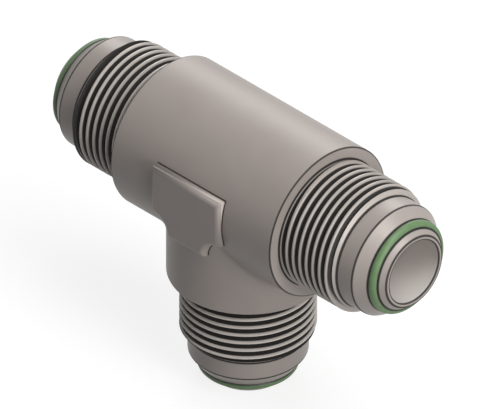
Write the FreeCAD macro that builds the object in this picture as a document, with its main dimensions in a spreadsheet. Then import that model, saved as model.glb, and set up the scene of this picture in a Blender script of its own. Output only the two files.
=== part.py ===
import FreeCAD, Part
import math
import os
import Sketcher

# A union tee for hydraulic tube. One steel body has a run along X and a branch that points
# down. Each of its three alike ends is a threaded barrel with a flare cone, and a rubber
# ring sits in a groove round each cone. The origin is the centre of the branch's end face.

DOCUMENT_NAME = "union_tee"

# Driving sizes, in millimetres and degrees.
SIZES = {
    "bore_diameter": 9.6,
    "nose_land": 0.66,
    "cone_half_angle": 37.0,
    "neck_length": 2.88,
    "lead_in_length": 0.36,
    "collar_drop": 1.14,
    "thread_diameter": 19.05,
    "thread_length": 9.77,
    "shoulder_step": 1.8,
    "centre_to_shoulder": 15.5,
    "crotch_radius": 1.5,
    "pad_height": 0.8,
    "pad_shift": 0.4,
    "pad_width": 13.14,
    "pad_top": 4.05,
    "pad_bottom": 6.3,
    "pad_scoop_radius": 3.07,
    "pad_edge_radius": 0.75,
    "ring_section": 1.4,
    "ring_sink": 0.28,
    "ring_from_nose": 1.15,
    "ring_clearance": 0.03,
    "groove_side_angle": 15.0,
}

# Sizes that follow from the driving ones, as expressions.
BORE_RADIUS = "sizes.bore_diameter / 2"
NOSE_RADIUS = f"({BORE_RADIUS} + sizes.nose_land)"
THREAD_RADIUS = "sizes.thread_diameter / 2"
COLLAR_RADIUS = f"({THREAD_RADIUS} - sizes.collar_drop)"
BARREL_RADIUS = f"({THREAD_RADIUS} + sizes.shoulder_step)"
CONE_LENGTH = f"(({COLLAR_RADIUS} - {NOSE_RADIUS}) / tan(sizes.cone_half_angle))"
TO_SHOULDER = "sizes.centre_to_shoulder"
TO_THREAD_END = f"({TO_SHOULDER} + sizes.thread_length)"
TO_COLLAR = f"({TO_THREAD_END} + sizes.lead_in_length)"
TO_CONE = f"({TO_COLLAR} + sizes.neck_length)"
TO_NOSE = f"({TO_CONE} + {CONE_LENGTH})"

# The ring's centre lies under the cone's surface, and its groove opens square to that surface.
CONE_SIN = "sin(sizes.cone_half_angle)"
CONE_COS = "cos(sizes.cone_half_angle)"
RING_RADIUS = "(sizes.ring_section / 2)"
MOUTH_RADIUS = f"({NOSE_RADIUS} + sizes.ring_from_nose)"
MOUTH_ALONG = f"({TO_NOSE} - sizes.ring_from_nose / tan(sizes.cone_half_angle))"
MOUTH_HALF = f"(sqrt({RING_RADIUS}^2 - sizes.ring_sink^2) + sizes.ring_clearance)"
GROOVE_DEPTH = f"(sizes.ring_sink + {RING_RADIUS} + sizes.ring_clearance)"
FLOOR_HALF = f"({MOUTH_HALF} + {GROOVE_DEPTH} * tan(sizes.groove_side_angle))"

# How far a cut runs on past the surface that it opens.
CUT_OVERRUN = 0.5

# Corners of a ring's section, as angles in degrees from the outward side of its cone. They
# follow the ring's circle closely where it shows, and it is plainer inside the groove.
RING_CORNER_ANGLES = (-66, -22, 22, 66, 150, 210)

# Each end: the name of its seal, and the turn about Y that takes the right end to it.
ENDS = {"seal_right": 0, "seal_branch": 90, "seal_left": 180}


def make_sheet(doc):
    """Keep the driving sizes in a sheet, one to a row, each under its own alias."""
    sheet = doc.addObject("Spreadsheet::Sheet", "sizes")
    for row, (alias, value) in enumerate(SIZES.items(), start=1):
        sheet.set(f"A{row}", alias)
        sheet.set(f"B{row}", str(value))
        sheet.setAlias(f"B{row}", alias)
    doc.recompute()
    return sheet


def origin_feature(body, role):
    """Return one of the body's own origin planes or axes."""
    return next(item for item in body.Origin.OriginFeatures if item.Role == role)


def new_sketch(body, name, role):
    """Add a sketch that lies flat on one of the body's origin planes."""
    sketch = body.newObject("Sketcher::SketchObject", name)
    sketch.AttachmentSupport = (origin_feature(body, role), [""])
    sketch.MapMode = "FlatFace"
    return sketch


def pin_corner(sketch, line, axis, expression):
    """Hold the start of a line at a distance from the origin along one sketch axis."""
    value = sketch.evalExpression(expression)
    kind = "DistanceX" if axis == 0 else "DistanceY"
    index = sketch.addConstraint(Sketcher.Constraint(kind, -1, 1, line, 1, value))
    sketch.setExpression(f"Constraints[{index}]", expression)


def closed_outline(sketch, corners):
    """Draw straight lines round corners that are given as pairs of expressions.

    "0" puts a corner on the sketch's own axis, and a corner that repeats the expression
    of the one before it is kept level or plumb with it.
    """
    places = [
        FreeCAD.Vector(sketch.evalExpression(x), sketch.evalExpression(y), 0)
        for x, y in corners
    ]
    count = len(corners)
    for i in range(count):
        sketch.addGeometry(Part.LineSegment(places[i], places[(i + 1) % count]), False)
    for i in range(count):
        sketch.addConstraint(Sketcher.Constraint("Coincident", i, 2, (i + 1) % count, 1))
    for i, corner in enumerate(corners):
        for axis, expression in enumerate(corner):
            if expression == "0":
                line = -2 if axis == 0 else -1
                sketch.addConstraint(Sketcher.Constraint("PointOnObject", i, 1, line))
            elif i > 0 and expression == corners[i - 1][axis]:
                kind = "Vertical" if axis == 0 else "Horizontal"
                sketch.addConstraint(Sketcher.Constraint(kind, i - 1))
            else:
                pin_corner(sketch, i, axis, expression)


def pad_outline_lines(sketch):
    """Draw a wrench pad's outline: a rectangle whose two lower corners are scooped out by
    quarter circles about those corners. Its lines and arcs run clockwise from the top."""
    left_edge = "-sizes.pad_shift - sizes.pad_width / 2"
    right_edge = "-sizes.pad_shift + sizes.pad_width / 2"
    left = sketch.evalExpression(left_edge)
    right = sketch.evalExpression(right_edge)
    top = sketch.evalExpression("sizes.pad_top")
    bottom = sketch.evalExpression("-sizes.pad_bottom")
    scoop = sketch.evalExpression("sizes.pad_scoop_radius")

    def line(x1, y1, x2, y2):
        ends = (FreeCAD.Vector(x1, y1, 0), FreeCAD.Vector(x2, y2, 0))
        return sketch.addGeometry(Part.LineSegment(*ends), False)

    def arc(x, y, start, end):
        circle = Part.Circle(FreeCAD.Vector(x, y, 0), FreeCAD.Vector(0, 0, 1), scoop)
        bend = Part.ArcOfCircle(circle, math.radians(start), math.radians(end))
        return sketch.addGeometry(bend, False)

    top_line = line(left, top, right, top)
    right_line = line(right, top, right, bottom + scoop)
    right_arc = arc(right, bottom, 90, 180)
    bottom_line = line(right - scoop, bottom, left + scoop, bottom)
    left_arc = arc(left, bottom, 0, 90)
    left_line = line(left, bottom + scoop, left, top)
    for first, second in (
        ((top_line, 2), (right_line, 1)),
        ((right_line, 2), (right_arc, 1)),
        ((right_arc, 2), (bottom_line, 1)),
        ((bottom_line, 2), (left_arc, 1)),
        ((left_arc, 2), (left_line, 1)),
        ((left_line, 2), (top_line, 1)),
    ):
        sketch.addConstraint(Sketcher.Constraint("Coincident", *first, *second))
    sketch.addConstraint(Sketcher.Constraint("Horizontal", top_line))
    sketch.addConstraint(Sketcher.Constraint("Horizontal", bottom_line))
    sketch.addConstraint(Sketcher.Constraint("Vertical", right_line))
    sketch.addConstraint(Sketcher.Constraint("Vertical", left_line))
    for bend, side in ((right_arc, right_line), (left_arc, left_line)):
        sketch.addConstraint(Sketcher.Constraint("PointOnObject", bend, 3, side))
        sketch.addConstraint(Sketcher.Constraint("PointOnObject", bend, 3, bottom_line))
        index = sketch.addConstraint(Sketcher.Constraint("Radius", bend, scoop))
        sketch.setExpression(f"Constraints[{index}]", "sizes.pad_scoop_radius")
    pin_corner(sketch, top_line, 0, left_edge)
    pin_corner(sketch, right_line, 0, right_edge)
    pin_corner(sketch, top_line, 1, "sizes.pad_top")
    pin_corner(sketch, bottom_line, 1, "-sizes.pad_bottom")


def turned(body, kind, name, sketch):
    """Turn a sketch once round its own horizontal axis, which is the end's axis."""
    feature = body.newObject(kind, name)
    feature.Profile = sketch
    feature.ReferenceAxis = (sketch, ["H_Axis"])
    feature.Angle = 360
    sketch.Visibility = False
    return feature


def on_three_ends(body, name, originals):
    """Repeat features of the right end on the branch and on the left end."""
    pattern = body.newObject("PartDesign::PolarPattern", name)
    pattern.Originals = originals
    pattern.Axis = (origin_feature(body, "Y_Axis"), [""])
    pattern.Angle = 180
    pattern.Occurrences = 3
    body.Tip = pattern
    return pattern


def round_edges(body, name, base, chosen, radius_expression):
    """Fillet the edges of a feature for which chosen(edge) is true."""
    names = [f"Edge{i}" for i, edge in enumerate(base.Shape.Edges, start=1) if chosen(edge)]
    if not names:
        raise RuntimeError(f"{name} finds no edge to round")
    fillet = body.newObject("PartDesign::Fillet", name)
    fillet.Base = (base, names)
    fillet.setExpression("Radius", radius_expression)
    body.Tip = fillet
    return fillet


def edge_points(edge):
    """Return points spread along an edge."""
    return edge.discretize(Number=5)


def is_straight(edge):
    """Return whether an edge is a straight line."""
    return edge.Curve.TypeId == "Part::GeomLine"


def on_cone(along, out):
    """Return a point of the right end's section, measured from the middle of its groove's
    mouth: a distance along the cone towards the collar, and one out of its surface."""
    return (
        f"{MOUTH_ALONG} - ({along}) * {CONE_COS} + ({out}) * {CONE_SIN}",
        f"{MOUTH_RADIUS} + ({along}) * {CONE_SIN} + ({out}) * {CONE_COS}",
    )


def make_tee_body(doc):
    """The forged and machined steel body, made about the crossing of its axes."""
    body = doc.addObject("PartDesign::Body", "tee_body")
    body.Label = "tee_body"

    pad_outline = new_sketch(body, "pad_outline", "XZ_Plane")
    pad_outline_lines(pad_outline)
    pads = body.newObject("PartDesign::Pad", "wrench_pads")
    pads.Profile = pad_outline
    pads.Midplane = True
    pads.setExpression("Length", f"2 * ({BARREL_RADIUS} + sizes.pad_height)")
    pad_outline.Visibility = False
    doc.recompute()

    end_outline = new_sketch(body, "end_outline", "XZ_Plane")
    closed_outline(
        end_outline,
        [
            ("0", "0"),
            ("0", BARREL_RADIUS),
            (TO_SHOULDER, BARREL_RADIUS),
            (TO_SHOULDER, THREAD_RADIUS),
            (TO_THREAD_END, THREAD_RADIUS),
            (TO_COLLAR, COLLAR_RADIUS),
            (TO_CONE, COLLAR_RADIUS),
            (TO_NOSE, NOSE_RADIUS),
            (TO_NOSE, "0"),
        ],
    )
    right_end = turned(body, "PartDesign::Revolution", "right_end", end_outline)
    doc.recompute()
    three_ends = on_three_ends(body, "three_ends", [right_end])
    doc.recompute()

    pad_plane = doc.sizes.evalExpression(f"{BARREL_RADIUS} + sizes.pad_height")
    pad_rims = round_edges(
        body,
        "pad_rims",
        three_ends,
        lambda edge: is_straight(edge)
        and all(abs(abs(p.y) - pad_plane) < 1e-4 for p in edge_points(edge)),
        "sizes.pad_edge_radius",
    )
    doc.recompute()

    crotch = round_edges(
        body,
        "crotch",
        pad_rims,
        lambda edge: all(
            p.z < -1e-3 and abs(abs(p.x) + p.z) < 1e-4 for p in edge_points(edge)
        ),
        "sizes.crotch_radius",
    )
    doc.recompute()

    bore_outline = new_sketch(body, "bore_outline", "XZ_Plane")
    bore_end = f"{TO_NOSE} + {CUT_OVERRUN}"
    closed_outline(
        bore_outline,
        [("0", "0"), ("0", BORE_RADIUS), (bore_end, BORE_RADIUS), (bore_end, "0")],
    )
    bore = turned(body, "PartDesign::Groove", "bore", bore_outline)
    doc.recompute()

    groove_outline = new_sketch(body, "groove_outline", "XZ_Plane")
    closed_outline(
        groove_outline,
        [
            on_cone(MOUTH_HALF, CUT_OVERRUN),
            on_cone(MOUTH_HALF, "0"),
            on_cone(FLOOR_HALF, f"-{GROOVE_DEPTH}"),
            on_cone(f"-{FLOOR_HALF}", f"-{GROOVE_DEPTH}"),
            on_cone(f"-{MOUTH_HALF}", "0"),
            on_cone(f"-{MOUTH_HALF}", CUT_OVERRUN),
        ],
    )
    ring_groove = turned(body, "PartDesign::Groove", "ring_groove", groove_outline)
    doc.recompute()
    on_three_ends(body, "three_bores_and_grooves", [bore, ring_groove])
    body.setExpression("Placement.Base.z", TO_NOSE)
    return body


def make_seal(doc, name, turn):
    """A rubber ring in its groove, made on the right end and turned about Y to its own."""
    body = doc.addObject("PartDesign::Body", name)
    body.Label = name
    section = new_sketch(body, f"{name}_section", "XZ_Plane")
    closed_outline(
        section,
        [
            on_cone(
                f"{RING_RADIUS} * sin({corner})",
                f"{RING_RADIUS} * cos({corner}) - sizes.ring_sink",
            )
            for corner in RING_CORNER_ANGLES
        ],
    )
    ring = turned(body, "PartDesign::Revolution", f"{name}_ring", section)
    body.Tip = ring
    body.Placement.Rotation = FreeCAD.Rotation(FreeCAD.Vector(0, 1, 0), turn)
    body.setExpression("Placement.Base.z", TO_NOSE)
    return body


def check(doc, bodies):
    """Stop before anything is written if an object failed or a sub-part isn't one solid."""
    for item in doc.Objects:
        if "Invalid" in item.State or "Error" in item.State:
            raise RuntimeError(f"{item.Name} failed: {item.State}")
    for body in bodies:
        shape = body.Shape
        if shape.isNull() or not shape.isValid() or len(shape.Solids) != 1:
            raise RuntimeError(f"{body.Label} isn't one valid solid")


def main():
    doc = FreeCAD.newDocument(DOCUMENT_NAME)
    make_sheet(doc)
    bodies = [make_tee_body(doc)]
    bodies += [make_seal(doc, name, turn) for name, turn in ENDS.items()]
    doc.recompute()
    check(doc, bodies)
    os.makedirs("parts", exist_ok=True)
    for body in bodies:
        body.Shape.exportStep(f"parts/{body.Label}.step")
        print(f"{body.Label}: {body.Shape.Volume:.1f} cubic mm")


main()
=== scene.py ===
import math

import bmesh
import bpy
import numpy as np
from mathutils import Matrix, Vector


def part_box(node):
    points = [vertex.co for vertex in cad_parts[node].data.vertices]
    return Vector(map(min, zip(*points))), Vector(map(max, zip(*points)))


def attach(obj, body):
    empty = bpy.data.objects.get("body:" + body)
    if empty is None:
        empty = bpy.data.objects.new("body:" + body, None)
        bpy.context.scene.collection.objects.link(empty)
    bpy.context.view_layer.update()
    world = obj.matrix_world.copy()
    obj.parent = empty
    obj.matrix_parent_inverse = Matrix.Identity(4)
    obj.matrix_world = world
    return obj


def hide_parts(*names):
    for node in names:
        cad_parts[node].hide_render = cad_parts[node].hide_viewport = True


# A union tee for hydraulic tube: threads, edge breaks, round seal rings and finishes are
# added here to the fixed model. Everything is in metres, in the model's own frame.

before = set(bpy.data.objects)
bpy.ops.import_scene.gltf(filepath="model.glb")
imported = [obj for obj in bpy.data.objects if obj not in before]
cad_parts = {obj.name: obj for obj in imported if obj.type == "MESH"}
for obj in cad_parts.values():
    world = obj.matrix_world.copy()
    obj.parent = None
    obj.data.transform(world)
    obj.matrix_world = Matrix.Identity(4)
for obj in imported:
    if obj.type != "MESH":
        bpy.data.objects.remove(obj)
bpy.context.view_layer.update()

MM = 0.001

# Sizes of the fitting, the same as the solid model's.
BORE_RADIUS = 4.8 * MM
NOSE_RADIUS = 5.46 * MM
COLLAR_RADIUS = 8.385 * MM
THREAD_RADIUS = 9.525 * MM
BARREL_RADIUS = 11.325 * MM
PAD_PLANE = 12.125 * MM
TO_SHOULDER = 15.5 * MM
TO_THREAD_END = 25.27 * MM
TO_COLLAR = 25.63 * MM
TO_CONE = 28.51 * MM
TO_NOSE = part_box("tee_body")[1].x
CONE_ANGLE = math.radians(37)
PAD_SHIFT = 0.4 * MM
PAD_HALF_WIDTH = 6.57 * MM
PAD_TOP = 4.05 * MM
PAD_BOTTOM = 6.3 * MM
PAD_SCOOP_RADIUS = 3.07 * MM
PAD_EDGE_RADIUS = 0.75 * MM

# The seal ring, and the middle and half width of its groove's mouth on the cone.
RING_SECTION_RADIUS = 0.7 * MM
RING_SINK = 0.28 * MM
MOUTH_RADIUS = NOSE_RADIUS + 1.15 * MM
MOUTH_HALF = 0.672 * MM
TO_MOUTH = TO_NOSE - (MOUTH_RADIUS - NOSE_RADIUS) / math.tan(CONE_ANGLE)

# The thread that is cut here: 60 degrees, right-handed.
PITCH = 1.27 * MM
THREAD_DEPTH = 0.78 * MM
ROOT_HALF_FLAT = 0.08 * MM
FLANK_ANGLE = math.radians(30)

# The crest ends here, where the lead-in cone starts. The solid model's cone is shorter.
TO_CREST_END = 24.7 * MM

# How far a corner of the mesh may lie off a circle that it stands for, along and outward.
ALONG_SLACK = 0.002 * MM
RADIUS_SLACK = 0.04 * MM

# The crossing of the three axes, which stands on the branch's end.
CENTRE = Vector((0, 0, TO_NOSE))

# Each end: the solid model's ring, the turn about Y that takes the right end to it, and the
# place of its first groove along the axis from the shoulder, at the turn's own +Y side.
ENDS = (
    ("seal_right", 0, 1.30 * MM),
    ("seal_branch", math.pi / 2, 1.18 * MM),
    ("seal_left", math.pi, 0.21 * MM),
)


def end_matrix(turn):
    """Takes the right end's own frame, with X along its axis, to one of the three ends."""
    return Matrix.Translation(CENTRE) @ Matrix.Rotation(turn, 4, "Y")


def new_object(name, mesh):
    """Put a mesh in the scene as an object of its own."""
    piece = bpy.data.objects.new(name, mesh)
    bpy.context.scene.collection.objects.link(piece)
    return piece


def join_rows(bm, here, after):
    """Faces between two rows of corners, each of them a closed loop."""
    for i in range(len(here)):
        j = (i + 1) % len(here)
        bm.faces.new((here[i], here[j], after[j], after[i]))


def closed_piece(bm, name):
    """Turn the faces of a closed mesh outward and make it an object."""
    bmesh.ops.recalc_face_normals(bm, faces=bm.faces)
    mesh = bpy.data.meshes.new(name)
    bm.to_mesh(mesh)
    bm.free()
    return new_object(name, mesh)


def thread_cutter(name, turn, first_groove):
    """A helical V-shaped bar that cuts one end's groove, shallow where it starts."""
    steps_a_turn = 96
    overshoot = 0.15 * MM
    run_in_from = 0.12 * MM
    run_in_length = 0.5 * MM
    least_share = 0.02
    start = run_in_from - first_groove
    stop = TO_COLLAR + PITCH - TO_SHOULDER - first_groove
    step_length = PITCH / steps_a_turn
    first_step = math.ceil(start / step_length)
    last_step = math.floor(stop / step_length)
    placed = end_matrix(turn)
    bm = bmesh.new()
    before = None
    for step in range(first_step, last_step + 1):
        angle = 2 * math.pi * step / steps_a_turn
        along = first_groove + step * step_length
        share = least_share + (along - run_in_from) / run_in_length
        depth = THREAD_DEPTH * min(1.0, share)
        top_half = ROOT_HALF_FLAT + (depth + overshoot) * math.tan(FLANK_ANGLE)
        section = []
        for offset, radius in (
            (-top_half, THREAD_RADIUS + overshoot),
            (-ROOT_HALF_FLAT, THREAD_RADIUS - depth),
            (ROOT_HALF_FLAT, THREAD_RADIUS - depth),
            (top_half, THREAD_RADIUS + overshoot),
        ):
            place = Vector(
                (
                    TO_SHOULDER + along + offset,
                    radius * math.cos(angle),
                    radius * math.sin(angle),
                )
            )
            section.append(bm.verts.new(placed @ place))
        if before:
            join_rows(bm, before, section)
        else:
            bm.faces.new(section)
        before = section
    bm.faces.new(reversed(before))
    return closed_piece(bm, name)


def scoop_rim_cutter(name, side):
    """Two rings that round the rims of one pad's scoops as its other rims are."""
    around_count = 96
    bend_count = 8
    over = 0.2 * MM
    low = PAD_PLANE - PAD_EDGE_RADIUS
    profile = []
    for i in range(bend_count + 1):
        angle = math.pi / 2 * i / bend_count
        profile.append(
            (
                PAD_SCOOP_RADIUS + PAD_EDGE_RADIUS * (1 - math.cos(angle)),
                low + PAD_EDGE_RADIUS * math.sin(angle),
            )
        )
    profile.append((PAD_SCOOP_RADIUS + PAD_EDGE_RADIUS, PAD_PLANE + over))
    profile.append((PAD_SCOOP_RADIUS - over, PAD_PLANE + over))
    profile.append((PAD_SCOOP_RADIUS - over, low))
    bm = bmesh.new()
    for corner in (-PAD_SHIFT - PAD_HALF_WIDTH, -PAD_SHIFT + PAD_HALF_WIDTH):
        rows = []
        for i in range(around_count):
            angle = 2 * math.pi * i / around_count
            row = []
            for out, depth in profile:
                place = Vector((corner, side * depth, CENTRE.z - PAD_BOTTOM))
                place += Vector((out * math.cos(angle), 0, out * math.sin(angle)))
                row.append(bm.verts.new(place))
            rows.append(row)
        for i in range(around_count):
            join_rows(bm, rows[i], rows[(i + 1) % around_count])
    return closed_piece(bm, name)


def is_on_rim(vert, to_end, along, radius):
    """Whether a corner of the mesh lies on a circle round one end's axis."""
    place = to_end @ vert.co
    out = math.hypot(place.y, place.z)
    return abs(place.x - along) < ALONG_SLACK and abs(out - radius) < RADIUS_SLACK


def lengthen_lead_ins(bm):
    """Stretch each thread's lead-in cone back to the end of its crest."""
    stretch = (TO_COLLAR - TO_CREST_END) / (TO_COLLAR - TO_THREAD_END)
    for _, turn, _ in ENDS:
        placed = end_matrix(turn)
        to_end = placed.inverted()
        for vert in bm.verts:
            place = to_end @ vert.co
            outside = math.hypot(place.y, place.z) > COLLAR_RADIUS
            on_cone = TO_THREAD_END - ALONG_SLACK < place.x < TO_COLLAR - ALONG_SLACK
            if outside and on_cone:
                place.x = TO_COLLAR - stretch * (TO_COLLAR - place.x)
                vert.co = placed @ place


def break_edges(bm):
    """Round the sharp turned rims a little, as a deburring tool leaves them."""
    rims = (
        (TO_SHOULDER, BARREL_RADIUS, 0.16 * MM),
        (TO_CONE, COLLAR_RADIUS, 0.14 * MM),
        (TO_NOSE, NOSE_RADIUS, 0.1 * MM),
        (TO_NOSE, BORE_RADIUS, 0.1 * MM),
    )
    for along, radius, width in rims:
        for _, turn, _ in ENDS:
            to_end = end_matrix(turn).inverted()
            on_it = {vert for vert in bm.verts if is_on_rim(vert, to_end, along, radius)}
            chosen = [edge for edge in bm.edges if on_it.issuperset(edge.verts)]
            bmesh.ops.bevel(
                bm, geom=chosen, offset=width, segments=2, profile=0.5, affect="EDGES"
            )


def surface_normals(mesh):
    """Give corners the true normals of the turned surfaces and pads that they lie on."""
    places = np.empty(len(mesh.vertices) * 3)
    mesh.vertices.foreach_get("co", places)
    places = places.reshape(-1, 3) - np.array(CENTRE)
    corner_vert = np.empty(len(mesh.loops), int)
    mesh.loops.foreach_get("vertex_index", corner_vert)
    totals = np.empty(len(mesh.polygons), int)
    mesh.polygons.foreach_get("loop_total", totals)
    corner_face = np.repeat(np.arange(len(totals)), totals)
    face_normals = np.empty(len(mesh.polygons) * 3)
    mesh.polygons.foreach_get("normal", face_normals)
    face_normals = face_normals.reshape(-1, 3)
    face_centres = np.empty(len(mesh.polygons) * 3)
    mesh.polygons.foreach_get("center", face_centres)
    face_centres = face_centres.reshape(-1, 3) - np.array(CENTRE)
    normals = np.array([c.vector for c in mesh.corner_normals])
    at = places[corner_vert]
    facing = face_normals[corner_face]
    near = 1e-5
    exact = 1e-6
    to_end_face = TO_SHOULDER - 0.3 * MM
    agreement = 0.82
    toward_axis = -0.9

    def use(chosen, wanted):
        """Take the wanted normals where they are within about 35 degrees of the facet."""
        agrees = chosen & ((wanted * facing).sum(1) > agreement)
        normals[agrees] = wanted[agrees]

    for axis in (0, 2):
        outward = at.copy()
        outward[:, axis] = 0
        radius = np.linalg.norm(outward, axis=1)
        outward /= np.maximum(radius, near)[:, None]
        if axis == 0:
            beyond = np.abs(face_centres[:, axis]) > to_end_face
        else:
            beyond = -face_centres[:, axis] > to_end_face
        centre_out = face_centres.copy()
        centre_out[:, axis] = 0
        centre_radius = np.linalg.norm(centre_out, axis=1)
        centre_out /= np.maximum(centre_radius, near)[:, None]
        in_bore = centre_radius < BORE_RADIUS
        lean = face_normals[:, axis]
        spread = (face_normals * centre_out).sum(1)
        turned = beyond & (centre_radius < BARREL_RADIUS)
        turned |= in_bore & (spread < toward_axis)
        wanted = outward * spread[corner_face][:, None]
        wanted[:, axis] = lean[corner_face]
        wanted /= np.maximum(np.linalg.norm(wanted, axis=1), exact)[:, None]
        use(turned[corner_face], wanted)
        on_barrel = (np.abs(radius - BARREL_RADIUS) < near) & ~beyond[corner_face]
        if axis == 2:
            on_barrel &= at[:, 2] < -np.abs(at[:, 0])
        else:
            on_barrel &= at[:, 2] > -np.abs(at[:, 0])
        use(on_barrel, outward)
    on_pad = np.abs(np.abs(at[:, 1]) - PAD_PLANE) < exact
    flat = np.zeros_like(at)
    flat[:, 1] = np.sign(at[:, 1])
    use(on_pad, flat)
    mesh.normals_split_custom_set(normals.tolist())


def make_tee():
    """The steel body: the solid model's own shape with its edges broken and threads cut."""
    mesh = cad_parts["tee_body"].data.copy()
    mesh.name = "steel_tee"
    bm = bmesh.new()
    bm.from_mesh(mesh)
    bmesh.ops.remove_doubles(bm, verts=bm.verts, dist=1e-6)
    lengthen_lead_ins(bm)
    break_edges(bm)
    bm.to_mesh(mesh)
    bm.free()
    tee = new_object("steel_tee", mesh)
    cutters = [scoop_rim_cutter("scoops_front", -1), scoop_rim_cutter("scoops_back", 1)]
    cutters += [thread_cutter(f"thread_{name}", turn, first) for name, turn, first in ENDS]
    for cutter in cutters:
        cut = tee.modifiers.new(cutter.name, "BOOLEAN")
        cut.operation = "DIFFERENCE"
        cut.solver = "EXACT"
        cut.object = cutter
    bpy.context.view_layer.update()
    made = bpy.data.meshes.new_from_object(
        tee.evaluated_get(bpy.context.evaluated_depsgraph_get())
    )
    tee.modifiers.clear()
    tee.data = made
    for cutter in cutters:
        bpy.data.objects.remove(cutter)
    made.shade_smooth()
    made.set_sharp_from_angle(angle=math.radians(50))
    surface_normals(made)
    return tee


def make_ring(name, turn):
    """A round rubber ring that stands a little proud of its cone."""
    around_count = 192
    section_count = 32
    along = TO_MOUTH - RING_SINK * math.sin(CONE_ANGLE)
    radius = MOUTH_RADIUS - RING_SINK * math.cos(CONE_ANGLE)
    placed = end_matrix(turn)
    bm = bmesh.new()
    rows = []
    for i in range(around_count):
        angle = 2 * math.pi * i / around_count
        row = []
        for j in range(section_count):
            turn_of_section = 2 * math.pi * j / section_count
            out = radius + RING_SECTION_RADIUS * math.cos(turn_of_section)
            place = Vector(
                (
                    along + RING_SECTION_RADIUS * math.sin(turn_of_section),
                    out * math.cos(angle),
                    out * math.sin(angle),
                )
            )
            row.append(bm.verts.new(placed @ place))
        rows.append(row)
    for i in range(around_count):
        join_rows(bm, rows[i], rows[(i + 1) % around_count])
    ring = closed_piece(bm, name)
    ring.data.shade_smooth()
    return ring


class Maths:
    """Short names for a material's maths nodes."""

    def __init__(self, tree):
        self.tree = tree

    def node(self, kind):
        return self.tree.nodes.new(kind)

    def link(self, source, socket):
        self.tree.links.new(source, socket)

    def do(self, operation, *values, clamp=False):
        node = self.node("ShaderNodeMath")
        node.operation = operation
        node.use_clamp = clamp
        for socket, value in zip(node.inputs, values):
            if isinstance(value, (int, float)):
                socket.default_value = value
            else:
                self.link(value, socket)
        return node.outputs[0]

    def ramp(self, value, low, high):
        """0 below low, 1 above high and smooth between them; low may be the larger."""
        node = self.node("ShaderNodeMapRange")
        node.interpolation_type = "SMOOTHSTEP"
        self.link(value, node.inputs["Value"])
        node.inputs["From Min"].default_value = min(low, high)
        node.inputs["From Max"].default_value = max(low, high)
        node.inputs["To Min"].default_value = 0.0 if low < high else 1.0
        node.inputs["To Max"].default_value = 1.0 if low < high else 0.0
        return node.outputs["Result"]

    def choose(self, chooser, when_0, when_1):
        """One of two values, for a chooser that is 0 or 1."""
        away = self.do("SUBTRACT", when_1, when_0)
        return self.do("MULTIPLY_ADD", away, chooser, when_0)

    def length(self, a, b):
        return self.do("SQRT", self.do("ADD", self.do("MULTIPLY", a, a), self.do("MULTIPLY", b, b)))

    def noise(self, vector, scale, detail=2.0):
        node = self.node("ShaderNodeTexNoise")
        node.inputs["Scale"].default_value = scale
        node.inputs["Detail"].default_value = detail
        self.link(vector, node.inputs["Vector"])
        return node.outputs["Fac"]

    def noise_line(self, value, scale, detail=2.0):
        node = self.node("ShaderNodeTexNoise")
        node.noise_dimensions = "1D"
        node.inputs["Scale"].default_value = scale
        node.inputs["Detail"].default_value = detail
        self.link(value, node.inputs["W"])
        return node.outputs["Fac"]

    def mix(self, factor, a, b):
        """Mix two colours, each a tuple or a socket."""
        node = self.node("ShaderNodeMix")
        node.data_type = "RGBA"
        self.link(factor, node.inputs["Factor"])
        for name, colour in (("A", a), ("B", b)):
            socket = next(s for s in node.inputs if s.name == name and s.type == "RGBA")
            if isinstance(colour, tuple):
                socket.default_value = (*colour, 1.0)
            else:
                self.link(colour, socket)
        return next(s for s in node.outputs if s.type == "RGBA")

    def bump(self, height, strength, distance, shader):
        """Let a height value ruffle a shader's surface."""
        node = self.node("ShaderNodeBump")
        node.inputs["Strength"].default_value = strength
        node.inputs["Distance"].default_value = distance
        self.link(height, node.inputs["Height"])
        self.link(node.outputs["Normal"], shader.inputs["Normal"])

    def show(self, shader):
        """Make a shader the material's surface."""
        output = self.node("ShaderNodeOutputMaterial")
        self.link(shader.outputs[0], output.inputs["Surface"])


class Place:
    """A shaded point from the axes' crossing, and along and outward from its own axis."""

    def __init__(self, m):
        self.vector = m.node("ShaderNodeTexCoord").outputs["Object"]
        split = m.node("ShaderNodeSeparateXYZ")
        m.link(self.vector, split.inputs[0])
        self.x, self.y, height = split.outputs
        self.z = m.do("SUBTRACT", height, CENTRE.z)
        self.run_radius = m.length(self.y, self.z)
        self.branch_radius = m.length(self.x, self.y)
        branch_along = m.do("MULTIPLY", self.z, -1.0)
        self.run_along = m.do("ABSOLUTE", self.x)
        self.on_branch = m.do("GREATER_THAN", branch_along, TO_SHOULDER - 0.02 * MM)
        self.along = m.choose(self.on_branch, self.run_along, branch_along)
        self.radius = m.choose(self.on_branch, self.run_radius, self.branch_radius)


def new_material(name):
    material = bpy.data.materials.new(name)
    material.use_nodes = True
    material.node_tree.nodes.clear()
    return material, Maths(material.node_tree)


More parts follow.
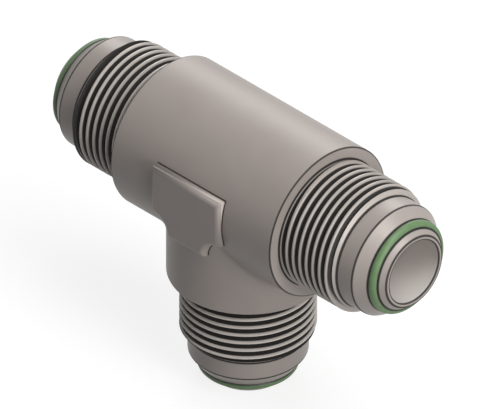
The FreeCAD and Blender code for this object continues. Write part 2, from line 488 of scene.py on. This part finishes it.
def steel_material():
    """Satin plated steel: forged barrels and turned ends, with painted shade in the thread roots,
    corners, pad feet and rims, and painted light on the threads and in the bores.
    """
    material, m = new_material("plated_steel_satin")
    place = Place(m)
    x, y, z = place.x, place.y, place.z
    along, radius = place.along, place.radius
    machined = m.ramp(along, TO_SHOULDER - 0.03 * MM, TO_SHOULDER - 0.01 * MM)

    def near_rim(rim_along, rim_radius, full, gone):
        """1 within a distance of a circle round the end's axis, fading to 0."""
        across = m.do("SUBTRACT", along, rim_along)
        out = m.do("SUBTRACT", radius, rim_radius)
        return m.ramp(m.length(across, out), gone, full)

    # Painted shade: the thread is coloured dark wherever it lies a little deeper than its crest.
    slope = (THREAD_RADIUS - COLLAR_RADIUS) / (TO_COLLAR - TO_CREST_END)
    lead_in = m.do("MULTIPLY_ADD", m.do("SUBTRACT", TO_COLLAR, along), slope, COLLAR_RADIUS)
    uncut = m.do("MINIMUM", lead_in, THREAD_RADIUS)
    in_thread = m.ramp(m.do("SUBTRACT", uncut, radius), 0.16 * MM, 0.32 * MM)
    above_collar = m.ramp(radius, COLLAR_RADIUS, COLLAR_RADIUS + 0.2 * MM)
    in_thread = m.do("MULTIPLY", in_thread, above_collar)
    in_thread = m.do("MULTIPLY", in_thread, machined)
    mouth_step = MOUTH_HALF * math.cos(CONE_ANGLE)
    mouth_rise = MOUTH_HALF * math.sin(CONE_ANGLE)
    # Painted shade in the concave corners: the shoulder's foot, the collar's foot and both lips of
    # the seal groove.
    corners = [
        near_rim(TO_SHOULDER, THREAD_RADIUS, 0.12 * MM, 0.28 * MM),
        near_rim(TO_COLLAR, COLLAR_RADIUS, 0.14 * MM, 0.3 * MM),
        near_rim(TO_MOUTH - mouth_step, MOUTH_RADIUS + mouth_rise, 0.14 * MM, 0.28 * MM),
        near_rim(TO_MOUTH + mouth_step, MOUTH_RADIUS - mouth_rise, 0.14 * MM, 0.28 * MM),
    ]

    # Painted shade along the feet of the front and back pads, where they meet the barrels.
    aside = m.do("SUBTRACT", m.do("ABSOLUTE", m.do("ADD", x, PAD_SHIFT)), PAD_HALF_WIDTH)
    over = m.do("SUBTRACT", z, PAD_TOP)
    under = m.do("SUBTRACT", -PAD_BOTTOM, z)
    in_scoop = m.do("SUBTRACT", PAD_SCOOP_RADIUS, m.length(aside, under))
    pad_line = m.do("MAXIMUM", m.do("MAXIMUM", aside, in_scoop), m.do("MAXIMUM", over, under))
    is_run = m.do("GREATER_THAN", m.do("ADD", z, place.run_along), 0.0)
    from_axis = m.choose(is_run, place.branch_radius, place.run_radius)
    above = m.do("SUBTRACT", from_axis, BARREL_RADIUS)
    pad_foot = m.do(
        "MULTIPLY",
        m.ramp(m.do("ABSOLUTE", pad_line), 0.18 * MM, 0.06 * MM),
        m.ramp(above, 0.2 * MM, 0.06 * MM),
    )
    pad_foot = m.do("MULTIPLY", pad_foot, m.ramp(m.do("ABSOLUTE", y), 5 * MM, 6 * MM))
    corners.append(pad_foot)
    # Painted shade: thin dark lines on the convex rims, over the light their broken edges would
    # catch.
    rims = [
        near_rim(TO_SHOULDER, BARREL_RADIUS, 0.12 * MM, 0.26 * MM),
        near_rim(TO_CONE, COLLAR_RADIUS, 0.1 * MM, 0.24 * MM),
        near_rim(TO_NOSE, NOSE_RADIUS, 0.14 * MM, 0.26 * MM),
        near_rim(TO_NOSE, BORE_RADIUS, 0.14 * MM, 0.26 * MM),
    ]
    # More painted shade lies where the thread ends on the left end and the branch, whose lead-ins
    # are in shade, but not on the right end.
    on_right = m.choose(place.on_branch, m.do("GREATER_THAN", x, 0.0), 0.0)
    last_land = m.do(
        "MULTIPLY",
        m.ramp(along, TO_CREST_END - 0.5 * MM, TO_CREST_END - 0.3 * MM),
        m.ramp(along, TO_CREST_END + 0.55 * MM, TO_CREST_END + 0.35 * MM),
    )
    last_corner = near_rim(TO_COLLAR, COLLAR_RADIUS, 0.22 * MM, 0.36 * MM)
    far_painted_shade = m.do("MAXIMUM", last_land, last_corner)
    corners.append(m.do("MULTIPLY", far_painted_shade, m.do("SUBTRACT", 1.0, on_right)))
    # All these masks together are painted shade: they darken the steel's colour and roughen it.
    painted_shade = in_thread
    for corner in corners:
        painted_shade = m.do("MAXIMUM", painted_shade, corner)
    for rim in rims:
        painted_shade = m.do("MAXIMUM", painted_shade, m.do("MULTIPLY", rim, 0.95))

    below = m.do("LESS_THAN", z, 0.0)
    wall = (BORE_RADIUS + 0.08 * MM, BORE_RADIUS + 0.02 * MM)
    in_branch_bore = m.do("MULTIPLY", m.ramp(place.branch_radius, *wall), below)
    in_bore = m.do("MAXIMUM", m.ramp(place.run_radius, *wall), in_branch_bore)

    broad = m.noise(place.vector, 90.0, 3.0)
    grain = m.noise(place.vector, 2600.0, 3.0)
    lines = m.noise_line(m.do("ADD", along, radius), 9000.0, 3.0)
    clean = m.mix(m.ramp(broad, 0.3, 0.7), (0.354, 0.309, 0.284), (0.384, 0.339, 0.314))
    darkening = m.mix(m.ramp(grain, 0.25, 0.75), (0.007, 0.005, 0.004), (0.016, 0.013, 0.011))
    on_thread = m.do(
        "MULTIPLY",
        m.ramp(along, TO_SHOULDER + 0.05 * MM, TO_SHOULDER + 0.3 * MM),
        m.ramp(along, TO_COLLAR, TO_COLLAR - 0.1 * MM),
    )
    # Painted light: the thread is coloured lighter than the barrels, least on the right end and
    # most on the branch, to stand in for light on flanks that the lamps leave in shade.
    thread_painted_light = m.choose(on_right, m.choose(place.on_branch, 0.5, 1.0), 0.1)
    thread = m.mix(thread_painted_light, (0.40, 0.360, 0.330), (0.76, 0.70, 0.65))
    colour = m.mix(on_thread, clean, thread)
    # Painted light: the bores are coloured far lighter than the rest, to stand in for light that
    # reaches into them.
    colour = m.mix(in_bore, colour, (0.72, 0.675, 0.645))
    colour = m.mix(painted_shade, colour, darkening)

    shader = m.node("ShaderNodeBsdfPrincipled")
    m.link(colour, shader.inputs["Base Color"])
    shader.inputs["Metallic"].default_value = 0.08
    satin = m.do("MULTIPLY_ADD", broad, 0.08, 0.43)
    satin = m.do("MULTIPLY_ADD", machined, -0.05, satin)
    m.link(m.do("MULTIPLY_ADD", painted_shade, 0.3, satin, clamp=True), shader.inputs["Roughness"])
    relief = m.do("MULTIPLY", grain, m.do("SUBTRACT", 1.0, machined))
    relief = m.do("MULTIPLY_ADD", m.do("MULTIPLY", lines, machined), 0.6, relief)
    m.bump(relief, 0.25, 0.02 * MM, shader)
    m.show(shader)
    return material


def rubber_material():
    """Soft green rubber with a satin skin, a faint mottle and painted shade at its groove."""
    material, m = new_material("seal_rubber_green")
    place = Place(m)
    in_from_nose = m.do("SUBTRACT", TO_NOSE, place.along)
    out_from_nose = m.do("SUBTRACT", place.radius, NOSE_RADIUS)
    proud = m.do(
        "SUBTRACT",
        m.do("MULTIPLY", out_from_nose, math.cos(CONE_ANGLE)),
        m.do("MULTIPLY", in_from_nose, math.sin(CONE_ANGLE)),
    )
    # Painted shade on the ring close to the cone, where it sinks into its groove.
    painted_shade = m.ramp(proud, 0.2 * MM, 0.1 * MM)
    mottle = m.noise(place.vector, 900.0, 3.0)
    fine = m.noise(place.vector, 6000.0, 2.0)
    shader = m.node("ShaderNodeBsdfPrincipled")
    colour = m.mix(m.ramp(mottle, 0.3, 0.7), (0.110, 0.195, 0.083), (0.134, 0.228, 0.101))
    colour = m.mix(painted_shade, colour, (0.012, 0.016, 0.010))
    m.link(colour, shader.inputs["Base Color"])
    m.link(m.do("MULTIPLY_ADD", mottle, 0.12, 0.42), shader.inputs["Roughness"])
    m.bump(fine, 0.2, 0.01 * MM, shader)
    m.show(shader)
    return material


def seen_directly(m):
    """1 for camera, glossy and transmission rays, which see the white background."""
    rays = m.node("ShaderNodeLightPath").outputs
    either = m.do("MAXIMUM", rays["Is Camera Ray"], rays["Is Glossy Ray"])
    return m.do("MAXIMUM", either, rays["Is Transmission Ray"])


def make_floor():
    """A plain pale floor that shows white and keeps a soft shadow."""
    half = 3.0
    gap = 0.02 * MM
    mesh = bpy.data.meshes.new("floor")
    mesh.from_pydata(
        [(-half, -half, 0), (half, -half, 0), (half, half, 0), (-half, half, 0)],
        [],
        [(0, 1, 2, 3)],
    )
    floor = new_object("floor", mesh)
    floor.location.z = -gap
    material, m = new_material("pale_floor")
    matte = m.node("ShaderNodeBsdfDiffuse")
    matte.inputs["Color"].default_value = (0.2, 0.2, 0.2, 1)
    shown = m.node("ShaderNodeBsdfDiffuse")
    shown.inputs["Color"].default_value = (0.25, 0.25, 0.25, 1)
    glow = m.node("ShaderNodeEmission")
    glow.inputs["Strength"].default_value = 0.84
    pale = m.node("ShaderNodeAddShader")
    m.link(shown.outputs[0], pale.inputs[0])
    m.link(glow.outputs[0], pale.inputs[1])
    choice = m.node("ShaderNodeMixShader")
    m.link(seen_directly(m), choice.inputs[0])
    m.link(matte.outputs[0], choice.inputs[1])
    m.link(pale.outputs[0], choice.inputs[2])
    m.show(choice)
    mesh.materials.append(material)


def make_world():
    """A white studio round the object, which lights it only softly."""
    world = bpy.data.worlds.new("studio")
    bpy.context.scene.world = world
    world.use_nodes = True
    world.node_tree.nodes.clear()
    m = Maths(world.node_tree)
    background = m.node("ShaderNodeBackground")
    background.inputs["Color"].default_value = (1, 1, 1, 1)
    m.link(m.choose(seen_directly(m), 0.02, 1.0), background.inputs["Strength"])
    output = m.node("ShaderNodeOutputWorld")
    m.link(background.outputs[0], output.inputs["Surface"])


def make_lamp(name, direction, size, power):
    """A square soft lamp that looks at the crossing of the axes from a direction."""
    distance = 0.4
    lamp = bpy.data.lights.new(name, "AREA")
    lamp.shape = "SQUARE"
    lamp.size = size
    lamp.energy = power
    holder = bpy.data.objects.new(name, lamp)
    bpy.context.scene.collection.objects.link(holder)
    toward = Vector(direction).normalized()
    holder.location = CENTRE + toward * distance
    holder.rotation_euler = toward.to_track_quat("Z", "Y").to_euler()


def make_camera():
    """The photograph's view: an isometric one, drawn without perspective."""
    right = Vector((1, 1, 0)).normalized()
    up = Vector((-1, 1, 2)).normalized()
    back = Vector((1, -1, 1)).normalized()
    camera = bpy.data.cameras.new("camera")
    camera.type = "ORTHO"
    camera.ortho_scale = 66.85 * MM
    camera.clip_start = 1 * MM
    to_left = 0.779 * MM
    to_below = 3.942 * MM
    distance = 0.4
    holder = bpy.data.objects.new("camera", camera)
    bpy.context.scene.collection.objects.link(holder)
    aim = CENTRE - right * to_left - up * to_below
    turned = Matrix((right, up, back)).transposed().to_4x4()
    holder.matrix_world = Matrix.Translation(aim + back * distance) @ turned
    bpy.context.scene.camera = holder


steel = steel_material()
rubber = rubber_material()

tee = make_tee()
tee.data.materials.clear()
tee.data.materials.append(steel)
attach(tee, "root")
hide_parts("tee_body")

for node, turn, _ in ENDS:
    ring = make_ring(node.replace("seal", "ring"), turn)
    ring.data.materials.append(rubber)
    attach(ring, "root")
    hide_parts(node)

make_floor()
make_world()
make_lamp("overhead", (0.15, 0.0, 0.99), 0.2, 0.55)
make_lamp("main", (0.56, 0.0, 0.83), 0.2, 0.70)
make_lamp("side", (0.93, -0.12, 0.33), 0.16, 0.36)
make_lamp("low", (0.96, -0.2, 0.15), 0.16, 0.52)
make_lamp("rim", (-0.58, 0.67, 0.47), 0.18, 0.43)
make_camera()
bpy.context.scene.view_settings.view_transform = "Standard"
